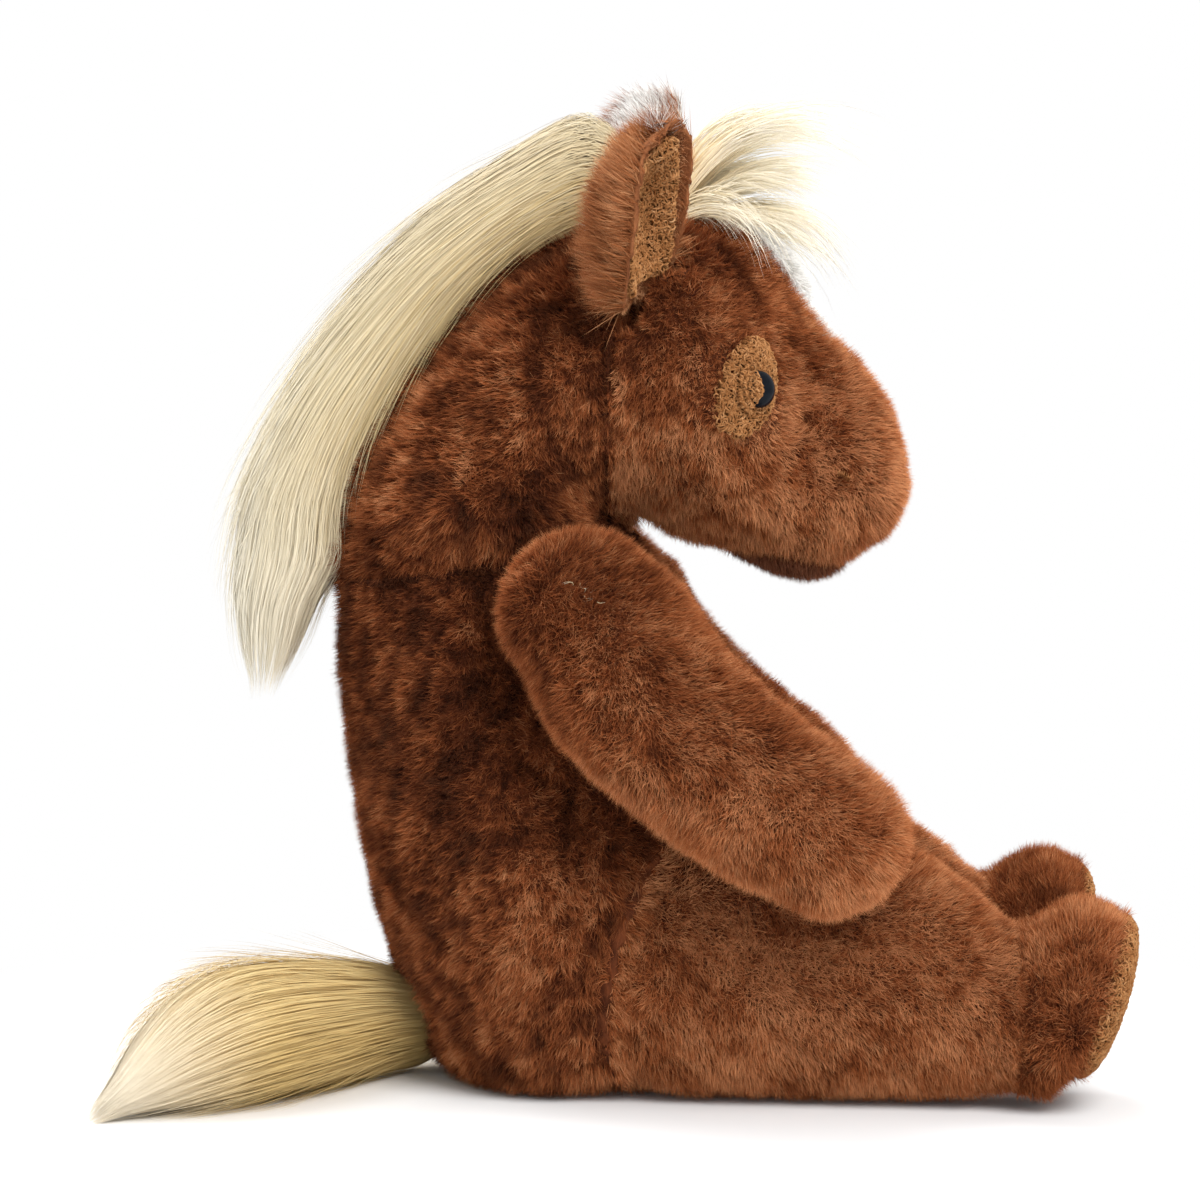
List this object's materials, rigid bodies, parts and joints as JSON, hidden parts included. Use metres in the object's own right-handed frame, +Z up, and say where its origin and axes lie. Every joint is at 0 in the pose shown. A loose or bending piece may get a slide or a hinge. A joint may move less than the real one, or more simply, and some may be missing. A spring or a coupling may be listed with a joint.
{
  "type": "plush horse",
  "caption": "Seated plush horse with dense brown pile, long cream mane, forelock and tail, domed glossy eyes, curly soles, and a turning neck, tilting head and swinging limbs.",
  "frame": {"origin": "on the floor, under the centre of the bounding box of the seated horse", "axes": "+X the way the horse faces, +Y its left side, +Z up"},
  "size_m": [0.3304, 0.2242, 0.339],
  "materials": {
    "torso": "dense pile, dark chestnut",
    "seat_panel": "short pile, dark brown",
    "pellet_pouch": "plain woven cloth",
    "neck": "dense pile, dark chestnut",
    "mane": "long straight pile, cream",
    "head": "dense pile, reddish tan",
    "blaze": "dense pile, white",
    "chin": "short pile, dark brown",
    "forelock": "long straight pile, cream",
    "right_eye": "polished black",
    "left_eye": "polished black",
    "right_eye_washer": "moulded, matte",
    "left_eye_washer": "moulded, matte",
    "right_eye_patch": "curly looped pile, golden brown",
    "left_eye_patch": "curly looped pile, golden brown",
    "right_ear": "dense pile, reddish tan",
    "left_ear": "dense pile, reddish tan",
    "right_ear_lining": "curly looped pile, golden brown",
    "left_ear_lining": "curly looped pile, golden brown",
    "right_arm": "dense pile, reddish tan",
    "left_arm": "dense pile, reddish tan",
    "right_leg": "dense pile, dark chestnut",
    "left_leg": "dense pile, dark chestnut",
    "right_foot": "dense pile, reddish tan",
    "left_foot": "dense pile, reddish tan",
    "right_sole": "curly looped pile, golden brown",
    "left_sole": "curly looped pile, golden brown",
    "tail": "long straight pile, cream"
  },
  "bodies": {
    "torso": {"torso": "torso", "seat_panel": "seat_panel", "pellet_pouch": "pellet_pouch"},
    "neck": {"neck": "neck", "mane": "mane"},
    "head": {"head": "head", "blaze": "blaze", "chin": "chin", "forelock": "forelock", "right_eye": "right_eye", "left_eye": "left_eye", "right_eye_washer": "right_eye_washer", "left_eye_washer": "left_eye_washer", "right_eye_patch": "right_eye_patch", "left_eye_patch": "left_eye_patch"},
    "right_ear": {"right_ear": "right_ear", "right_ear_lining": "right_ear_lining"},
    "left_ear": {"left_ear": "left_ear", "left_ear_lining": "left_ear_lining"},
    "right_arm": {"right_arm": "right_arm"},
    "left_arm": {"left_arm": "left_arm"},
    "right_leg": {"right_leg": "right_leg", "right_foot": "right_foot", "right_sole": "right_sole"},
    "left_leg": {"left_leg": "left_leg", "left_foot": "left_foot", "left_sole": "left_sole"},
    "tail": {"tail": "tail"}
  },
  "joints": [
    {"name": "neck_turn", "type": "hinge", "parent": "torso", "child": "neck", "pos_m": [-0.04478, 0, 0.1725], "axis": [-0.1478, 0, 0.989], "range_deg": [-20, 20]},
    {"name": "head_tilt", "type": "hinge", "parent": "neck", "child": "head", "pos_m": [-0.00446, 0, 0.23555], "axis": [1, 0, 0], "range_deg": [-12, 12]},
    {"name": "right_ear_fold", "type": "hinge", "parent": "head", "child": "right_ear", "pos_m": [0.00235, -0.04805, 0.26104], "axis": [-0.4592, -0.8135, -0.3569], "range_deg": [-6, 10]},
    {"name": "left_ear_fold", "type": "hinge", "parent": "head", "child": "left_ear", "pos_m": [0.00434, 0.03392, 0.27741], "axis": [0.4649, -0.7973, 0.3849], "range_deg": [-6, 10]},
    {"name": "right_shoulder", "type": "hinge", "parent": "torso", "child": "right_arm", "pos_m": [-0.0135, -0.05, 0.156], "axis": [0, -0.9578, 0.2874], "range_deg": [-30, 20]},
    {"name": "left_shoulder", "type": "hinge", "parent": "torso", "child": "left_arm", "pos_m": [-0.0135, 0.05, 0.156], "axis": [0, -0.9578, -0.2874], "range_deg": [-30, 20]},
    {"name": "right_hip", "type": "hinge", "parent": "torso", "child": "right_leg", "pos_m": [0.02, -0.043, 0.04675], "axis": [-0.1045, -0.9945, 0], "range_deg": [0, 6]},
    {"name": "left_hip", "type": "hinge", "parent": "torso", "child": "left_leg", "pos_m": [0.02, 0.043, 0.04675], "axis": [0.1045, -0.9945, 0], "range_deg": [0, 6]},
    {"name": "tail_root", "type": "hinge", "parent": "torso", "child": "tail", "pos_m": [-0.071, 0, 0.02], "axis": [0, 0, 1], "range_deg": [-24, 10]}
  ]
}
